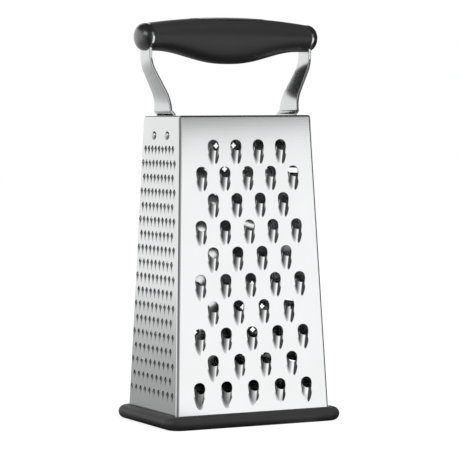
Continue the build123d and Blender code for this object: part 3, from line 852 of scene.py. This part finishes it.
def grip_point(x, turn):
    """Point of the grip at x and at an angle t round it: y = wide cos t, z = line + tall sin t.

    Line, width and crown follow the arch 1 - (x / end) squared. The belly follows half a swing of the cosine.
    """
    arch = 1 - (x / GRIP_END) ** 2
    line = LINE_RISE * arch
    wide = END_HALF[0] + SIDE_SWELL * arch
    top = END_HALF[1] + CROWN_RISE * arch
    swing = (1 + np.cos(math.pi * np.minimum(np.abs(x) / BELLY_REACH, 1))) / 2
    bottom = END_HALF[1] + BELLY_DROP * (1 - (1 - swing) ** BELLY_FULLNESS)
    tall = np.where(np.sin(turn) > 0, top - line, bottom + line)
    return np.stack([x + 0 * turn, wide * np.cos(turn), EYE_Z + line + tall * np.sin(turn)], axis=-1)


stations = np.linspace(-GRIP_END, GRIP_END, 81)[:, None]
turns = np.linspace(0, 2 * math.pi, 96, endpoint=False)
closed_piece("moulded_grip", capped(grip_point(stations, turns)), grip_rubber, "handle_grip", crease=50)

# %% [markdown]
# A thin oval plate is let into the crown. Its skin follows the grip's and stands a quarter of a
# millimetre proud, with a rolled edge.

# %% Inlay plate
PLATE_HALF = (28.5, 8.6)               # X and Y
PLATE_PROUD = 0.25
PLATE_DEPTH = 0.9
ROLL_START = 0.93                      # share of the oval's size where the rolled edge starts
ROLL_DROP = 0.3


def inlay_point(share, turn):
    """Plate in rings from its middle: share of the oval's size across, up on the grip's crown.

    The height is the crown's at that x and y plus PLATE_PROUD, less a quarter circle at the edge.
    """
    x = PLATE_HALF[0] * share * np.cos(turn)
    y = PLATE_HALF[1] * share * np.sin(turn)
    arch = 1 - (x / GRIP_END) ** 2
    wide = END_HALF[0] + SIDE_SWELL * arch
    tall = END_HALF[1] + CROWN_RISE * arch - LINE_RISE * arch
    crown = LINE_RISE * arch + tall * np.sqrt(1 - (y / wide) ** 2)
    roll = np.clip((share - ROLL_START) / (1 - ROLL_START), 0, 1)
    edge = ROLL_DROP * (1 - np.sqrt(1 - roll ** 2))
    return np.stack([x, y, EYE_Z + crown + PLATE_PROUD - edge], axis=-1)


shares = np.append(np.linspace(0, ROLL_START, 12), [0.95, 0.97, 0.985, 0.995, 1.0])[:, None]
turns = np.linspace(0, 2 * math.pi, 72, endpoint=False)
skin = inlay_point(shares, turns)
plate = np.concatenate([skin, skin[-1:] - np.array([0, 0, PLATE_DEPTH])])
plate_patches = [(plate, grid_faces(*plate.shape[:2], wrap=True)), closed_by(plate[-1])]
closed_piece("let_in_plate", plate_patches, inlay_steel, "handle_inlay")

# %% [markdown]
# ## The end caps
# The end caps are shallow oval domes that cover the screws. A cap is a profile: its rings shrink along
# a quarter of a circle, so fifteen of them give a smooth dome.

# %% End caps
CAP_HEIGHT = 5.62
CAP_FULLNESS = 0.9                     # power under one: the dome is fuller than an ellipse


def cap_patches(side):
    """Half an oval dome: at turn t a ring is cos t to the power CAP_FULLNESS in size, and sin t in height."""
    turn = np.linspace(0, math.pi / 2, 15)[:, None]
    around = np.linspace(0, 2 * math.pi, 80, endpoint=False)
    size = np.cos(turn) ** CAP_FULLNESS
    x = side * (EYE_REACH + FIT + CAP_HEIGHT * np.sin(turn)) + 0 * around
    y = END_HALF[0] * size * np.cos(around)
    z = EYE_Z + END_HALF[1] * size * np.sin(around)
    grid = np.stack([x, y, z], axis=-1)
    return [(grid, grid_faces(*grid.shape[:2], wrap=True)), closed_by(grid[0])]


for side, side_name in SIDES:
    closed_piece(f"domed_cap_{side_name}", cap_patches(side), cap_plastic, f"end_cap_{side_name}")

# %% [markdown]
# ## The rivets
# The rivets that hold the straps show as four low domes on the narrow panels. Each is made whole, down
# to the head formed inside, because it takes the place of a whole CAD part.

# %% Rivets
RIVET_DROP = 13.5                      # below the body's top
RIVET_SPREAD = 10.5                    # to each side of the panel's middle
HEAD_RADIUS = 2.9
HEAD_HEIGHT = 1.2
SHANK_RADIUS = 1.5
FORMED_RADII = (2.0, 1.9)              # of the head that is formed inside, at the strap and at its end
FORMED_HEIGHT = 1.0


def rivet_patch(side, across):
    """Rivet as rings about its axis: a low dome outside, a shank through the sheets, a flat head inside.

    The dome is a quarter ellipse of HEAD_RADIUS and HEAD_HEIGHT.
    """
    turn = np.linspace(math.pi / 2, 0, 10)
    dome = np.stack([HEAD_RADIUS * np.cos(turn), HEAD_HEIGHT * np.sin(turn)], axis=-1)
    strap_back = -(2 * SHEET + STRAP + 3 * FIT)
    end = strap_back - FORMED_HEIGHT
    shank = [(SHANK_RADIUS, 0.0), (SHANK_RADIUS, strap_back)]
    formed = [(FORMED_RADII[0], strap_back), (FORMED_RADII[1], end), (0.0, end)]
    profile = np.vstack([dome, shank, formed])
    around = np.linspace(0, 2 * math.pi, 32, endpoint=False)
    u = across + profile[:, :1] * np.cos(around)
    v = (BODY_RISE - RIVET_DROP) * math.hypot(1, TILT_X) + profile[:, :1] * np.sin(around)
    w = np.broadcast_to(profile[:, 1:], u.shape)
    return on_panel(side, 0, np.stack([u, v, w], axis=-1)), grid_faces(*u.shape, wrap=True)


for side, side_name in SIDES:
    for y, end in ((-1, "front"), (1, "rear")):
        patch = rivet_patch(side, side * y * RIVET_SPREAD)
        node = f"rivet_{side_name}_{end}"
        closed_piece(f"domed_{node}", [patch], rivet_steel, node)

# %% [markdown]
# ## Parts that keep their CAD shape
# The top plate, the core bar and the screws have the right shape already, so they only take a finish.

# %% Finish the CAD parts
for node, finish in {
    "top_plate": polished_steel,
    "handle_core": cap_plastic,
    "handle_screw_left": rivet_steel,
    "handle_screw_right": rivet_steel,
}.items():
    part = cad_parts[node]
    part.data.materials.clear()
    part.data.materials.append(finish)
    print(node, "takes", finish.name)

# %% [markdown]
# ## The studio
# Polished steel has no look of its own and shows the room. In the photograph the coarse face and the
# ridges of its scoops are white, their flanks are dark, and the straps turn dark where they face the
# ceiling. So a ring of tall cards stands round the grater: white in front and behind, grey cloth at the
# sides, black felt overhead, and a small bright softbox at the left. Only mirror rays see them. The
# world and two large lamps light everything else at a plain level.

# %% Brightness of the studio
STUDIO = 2.6                           # metres from the grater to the cards, and from floor to ceiling
FELT = 0.03                            # brightness of black felt
GREY = 0.07                            # brightness of dark grey cloth
BACK_WHITE = 0.97                      # brightness of the white cards behind the grater
FRONT_WHITE = 1.14                     # and in front, over 1 to make up for what steel takes away


def set_levels(ramp, stops):
    """Set a ramp's marks: grey levels at positions from 0 to 1, straight between them."""
    marks = ramp.color_ramp.elements
    for number, (position, brightness) in enumerate(stops):
        mark = marks[number] if number < 2 else marks.new(position)
        mark.position = position
        mark.color = (brightness, brightness, brightness, 1.0)


def by_direction(tree, stops):
    """Brightness by the direction from the grater, straight between the stops.

    Directions are in degrees from the coarse face towards +X, the angle whose tangent is x / -y.
    """
    place = add(tree, "ShaderNodeTexCoord")
    axes = add(tree, "ShaderNodeSeparateXYZ", links={0: place.outputs["Object"]})
    ahead = add(tree, "ShaderNodeMath", {"operation": "MULTIPLY"}, {1: -1.0}, {0: axes.outputs["Y"]})
    angle = add(
        tree, "ShaderNodeMath", {"operation": "ARCTAN2"},
        links={0: axes.outputs["X"], 1: ahead.outputs[0]},
    )
    share = add(
        tree, "ShaderNodeMapRange", values={"From Min": -math.pi, "From Max": math.pi},
        links={"Value": angle.outputs[0]},
    )
    ramp = add(tree, "ShaderNodeValToRGB", links={0: share.outputs["Result"]})
    set_levels(ramp, [((degrees + 180) / 360, brightness) for degrees, brightness in stops])
    return ramp


def by_height(tree, stops):
    """Brightness by height in metres, straight between the stops."""
    place = add(tree, "ShaderNodeTexCoord")
    axes = add(tree, "ShaderNodeSeparateXYZ", links={0: place.outputs["Object"]})
    share = add(
        tree, "ShaderNodeMapRange", values={"From Max": STUDIO}, links={"Value": axes.outputs["Z"]},
    )
    ramp = add(tree, "ShaderNodeValToRGB", links={0: share.outputs["Result"]})
    set_levels(ramp, [(height / STUDIO, brightness) for height, brightness in stops])
    return ramp


print("felt is", FELT, "and the white cards", BACK_WHITE, "and", FRONT_WHITE)

# %% [markdown]
# The floor has three faces to the light. The camera sees white paper. Light that scatters finds a grey
# that keeps the plain level. Mirror rays find the paper glowing with painted light, as if the cards lit
# it: white before the front card, fading to dark on the left, dark grey on the right, with painted shade
# that makes it dimmer near the grater than far away behind it and nearly black under the grater.

# %% Floor
PAPER_GLOW = 0.82                      # with the lamps' light on top, the camera sees white
# Painted shade: the paper behind the grater is darker close to it than far away.
PAINTED_SHADE_BEHIND_NEAR = 0.36                     # brightness of the paper behind the grater, close to it
BEHIND_FAR = 0.95                      # and far from it
NEAR_AND_FAR = (0.1, 2.4)              # metres from the grater
# Painted shadow: the paper is darkened in an oval under and round the grater, for mirror rays only.
SHADE_HALF = (0.066, 0.048)            # metres along X and Y, the oval that the grater covers
SHADE_LEVEL = 0.04
SHADE_EDGE = (0.95, 1.7)               # where the shade starts and ends to fade, as shares of that oval
FLOOR_HALF = 6.0                       # metres
# Painted light on the paper, by direction, as if the cards lit it; only mirror rays see it.
left_to_right = [
    (-90, 0.3), (-72, 0.07), (-50, 0.07), (-20, 0.28), (10, 0.8),
    (15, FRONT_WHITE), (41, FRONT_WHITE), (45, GREY), (148, GREY),
]


def board(name, points, faces, material):
    """Object for the studio, from points in metres."""
    mesh = bpy.data.meshes.new(name)
    mesh.from_pydata(points, [], faces)
    mesh.materials.append(material)
    return bpy.data.objects.new(name, mesh)


floor_material, tree = new_material("white_paper_sweep")
paper = add(tree, "ShaderNodeBsdfDiffuse", values={"Color": linear("#A8A8A8"), "Roughness": 0.6})
glow = add(tree, "ShaderNodeEmission", values={"Color": linear("#FFFFFF"), "Strength": PAPER_GLOW})
to_camera = add(tree, "ShaderNodeAddShader", links={0: paper.outputs["BSDF"], 1: glow.outputs["Emission"]})
near, far = [
    by_direction(tree, [(-180, behind), (-120, behind), *left_to_right, (154, behind), (180, behind)])
    for behind in (PAINTED_SHADE_BEHIND_NEAR, BEHIND_FAR)
]
place = add(tree, "ShaderNodeTexCoord")
away = add(tree, "ShaderNodeVectorMath", {"operation": "LENGTH"}, links={0: place.outputs["Object"]})
distance = add(
    tree, "ShaderNodeMapRange", values={"From Min": NEAR_AND_FAR[0], "From Max": NEAR_AND_FAR[1]},
    links={"Value": away.outputs["Value"]},
)
painted_card_light = add(tree, "ShaderNodeMix", {"data_type": "RGBA"}, links={"Factor": distance.outputs["Result"]})
tree.links.new(near.outputs[0], painted_card_light.inputs["A"])
tree.links.new(far.outputs[0], painted_card_light.inputs["B"])
ovals = add(
    tree, "ShaderNodeVectorMath", {"operation": "MULTIPLY"},
    {1: (1 / SHADE_HALF[0], 1 / SHADE_HALF[1], 0.0)}, {0: place.outputs["Object"]},
)
covered = add(tree, "ShaderNodeVectorMath", {"operation": "LENGTH"}, links={0: ovals.outputs[0]})
shade = add(
    tree, "ShaderNodeMapRange",
    values={"From Min": SHADE_EDGE[0], "From Max": SHADE_EDGE[1], "To Min": SHADE_LEVEL},
    links={"Value": covered.outputs["Value"]},
)
# Painted reflection: the paper glows with the cards' painted light, darkened by the painted shade.
painted_floor_reflection = add(
    tree, "ShaderNodeEmission",
    links={"Color": painted_card_light.outputs["Result"], "Strength": shade.outputs["Result"]},
)
path = add(tree, "ShaderNodeLightPath")
glossy = add(
    tree, "ShaderNodeMixShader",
    links={0: path.outputs["Is Glossy Ray"], 1: paper.outputs["BSDF"], 2: painted_floor_reflection.outputs[0]},
)
mix = add(
    tree, "ShaderNodeMixShader",
    links={0: path.outputs["Is Camera Ray"], 1: glossy.outputs[0], 2: to_camera.outputs[0]},
)
add(tree, "ShaderNodeOutputMaterial", links={"Surface": mix.outputs["Shader"]})
floor_corners = [(FLOOR_HALF * x, FLOOR_HALF * y, 0.0) for x, y in ((-1, -1), (1, -1), (1, 1), (-1, 1))]
floor = board("floor", floor_corners, [(0, 1, 2, 3)], floor_material)
bpy.context.scene.collection.objects.link(floor)
print("floor laid,", 2 * FLOOR_HALF, "m wide")

# %% [markdown]
# The world is plain white to the camera, as in the photograph. It lights the rest evenly at under half
# that level, so that black rubber stays black.

# %% World
FILL = 0.45                            # the even light on everything that isn't a mirror

world = bpy.data.worlds.new("white_studio")
bpy.context.scene.world = world
world.use_nodes = True
tree = world.node_tree
tree.nodes.clear()
path = add(tree, "ShaderNodeLightPath")
seen = add(
    tree, "ShaderNodeMath", {"operation": "MAXIMUM"},
    links={0: path.outputs["Is Camera Ray"], 1: path.outputs["Is Transmission Ray"]},
)
fill = add(tree, "ShaderNodeBackground", values={"Color": linear("#FFFFFF"), "Strength": FILL})
white = add(tree, "ShaderNodeBackground", values={"Color": linear("#FFFFFF"), "Strength": 1.0})
both = add(
    tree, "ShaderNodeMixShader",
    links={0: seen.outputs[0], 1: fill.outputs[0], 2: white.outputs[0]},
)
add(tree, "ShaderNodeOutputWorld", links={"Surface": both.outputs[0]})
print("world is white to the camera and lights the rest at", FILL)

# %% [markdown]
# The cards' materials only glow, so their brightness is the number written here and no lamp changes it.
# Some of them fade along the card, by direction or by height.

# %% Cloths and boards
def glowing(name, strength=1.0, source=None, stops=None):
    """Material that only glows. A source, such as by_height, gives its brightness from the stops."""
    material, tree = new_material(name)
    glow = add(tree, "ShaderNodeEmission", values={"Color": linear("#FFFFFF"), "Strength": strength})
    if source:
        tree.links.new(source(tree, stops).outputs[0], glow.inputs["Color"])
    add(tree, "ShaderNodeOutputMaterial", links={"Surface": glow.outputs["Emission"]})
    return material


felt = glowing("black_felt_screen", FELT)
grey_cloth = glowing("dark_grey_screen", GREY)
side_stops = [(-118, 0.2), (-60, 0.2), (-20, 0.4), (10, 0.8), (15, FRONT_WHITE)]
side_cloth = glowing("grey_screen_in_side_light", source=by_direction, stops=side_stops)
front_stops = [(0.415, FRONT_WHITE), (0.445, 0.12)]
front_board = glowing("lit_white_card_low", source=by_height, stops=front_stops)
back_board = glowing("lit_white_card_behind", source=by_height, stops=[(1.0, BACK_WHITE), (1.06, FELT)])
high_board = glowing("lit_white_card_tall", source=by_height, stops=[(2.1, BACK_WHITE), (2.2, FELT)])
softbox = glowing("lit_softbox_cloth", 3.0)
print("white in front up to", front_stops[0][0], "m")

# %% [markdown]
# The cards stand in a circle round the grater, so each one fills a known range of directions. That
# makes it easy to choose what each face of the steel shows.

# %% Cards and ceiling
CARD_POINTS = 24                       # along a card's curve
CEILING_HALF = 4.0                     # metres


def hide_from_light(screen):
    """Leave the screen to mirror rays alone."""
    for ray in ("camera", "diffuse", "transmission", "shadow", "volume_scatter"):
        setattr(screen, f"visible_{ray}", False)
    bpy.context.scene.collection.objects.link(screen)


def card(name, from_deg, to_deg, material, low=0.0, high=STUDIO, radius=STUDIO):
    """Upright curved card between two angles round the object, counted from the coarse face towards +X.

    A point at angle t stands at x = radius sin t, y = -radius cos t.
    """
    turn = np.radians(np.linspace(from_deg, to_deg, CARD_POINTS))
    foot = np.stack([radius * np.sin(turn), -radius * np.cos(turn), 0 * turn], axis=-1)
    grid = np.stack([foot + [0, 0, low], foot + [0, 0, high]])
    faces = grid_faces(2, CARD_POINTS).tolist()
    hide_from_light(board(name, grid.reshape(-1, 3).tolist(), faces, material))
    print(name, "from", from_deg, "to", to_deg, "degrees")


card("grey_left", -118, 15, side_cloth)
card("white_front", 15, 43, front_board)
card("softbox_left", -115, -80, softbox, low=0.6, high=1.4, radius=2.4)
card("grey_right", 43, 150, grey_cloth)
card("white_back_high", 150, 182, high_board)
card("white_back_low", 182, 242, back_board)
corners = ((-1, -1), (-1, 1), (1, 1), (1, -1))
ceiling_corners = [(CEILING_HALF * x, CEILING_HALF * y, STUDIO) for x, y in corners]
hide_from_light(board("felt_ceiling", ceiling_corners, [(0, 1, 2, 3)], felt))

# %% [markdown]
# The two lamps are large, so their shadows are soft. Mirrors would show them as bright squares, which
# the photograph doesn't have, so they are left out of reflections and the cards do that work.

# %% Lamps
GRATER_MIDDLE = Vector((0, 0, 0.13))   # where the lamps point


def lamp(name, place, size, power):
    """Large square area lamp at a place, with its side in metres and its power in watts."""
    data = bpy.data.lights.new(name, "AREA")
    data.size = size
    data.energy = power
    holder = bpy.data.objects.new(name, data)
    holder.location = place
    holder.rotation_euler = (GRATER_MIDDLE - Vector(place)).to_track_quat("-Z", "Y").to_euler()
    holder.visible_glossy = False
    bpy.context.scene.collection.objects.link(holder)
    print(name, "stands at", place)


lamp("key_lamp", (0.4, -0.85, 2.4), size=1.4, power=32.0)
lamp("back_lamp", (-1.3, 1.5, 1.6), size=1.2, power=12.0)
